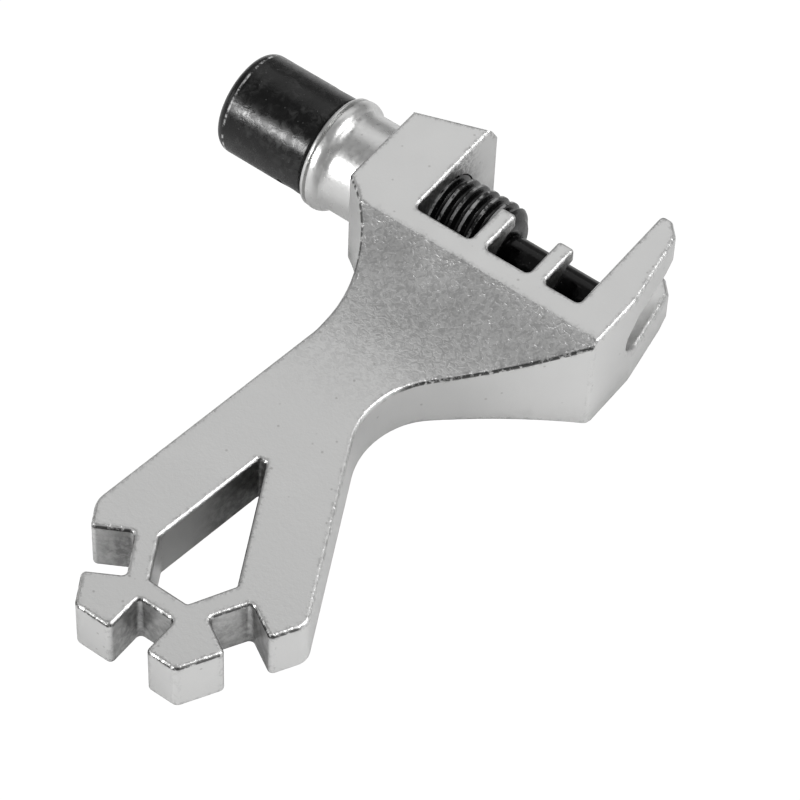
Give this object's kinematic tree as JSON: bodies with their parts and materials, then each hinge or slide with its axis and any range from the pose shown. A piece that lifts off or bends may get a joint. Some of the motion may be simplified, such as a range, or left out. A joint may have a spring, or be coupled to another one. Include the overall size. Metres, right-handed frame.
{
  "type": "bicycle chain tool",
  "caption": "Pocket bicycle chain tool: cast body with slotted jaw, roller cradles, spoke-nipple notches and a socket-headed drive screw with push pin.",
  "frame": {"origin": "on the flat back of the head, under the screw axis, in the middle of the threaded tower", "axes": "+X along the screw from its head to the jaw, +Y from the wrench end to the chain opening, +Z out of the front face with the tool lying on its back"},
  "size_m": [0.0414, 0.0586, 0.0108],
  "materials": {
    "cast_nickel": "satin",
    "black_oxide": "satin",
    "black_oxide_head": "satin",
    "pin_steel": "satin",
    "hardened_black": "satin"
  },
  "bodies": {
    "casting": {"tool_body": "cast_nickel"},
    "pin": {"push_pin": "hardened_black"},
    "screw": {"drive_screw": "black_oxide", "screw_head": "black_oxide_head", "cross_pin": "pin_steel"}
  },
  "joints": [
    {"name": "screw_feed", "type": "slide", "parent": "casting", "child": "pin", "axis": [1, 0, 0], "range_m": [-0.015, 0]},
    {"name": "screw_turn", "type": "hinge", "parent": "pin", "child": "screw", "pos_m": [0, 0, 0.0054], "axis": [1, 0, 0], "range_deg": [-5405, 0]}
  ],
  "couplings": [
    {"joint": "screw_turn", "follows": "screw_feed", "rad_per_m": 6283.2}
  ]
}
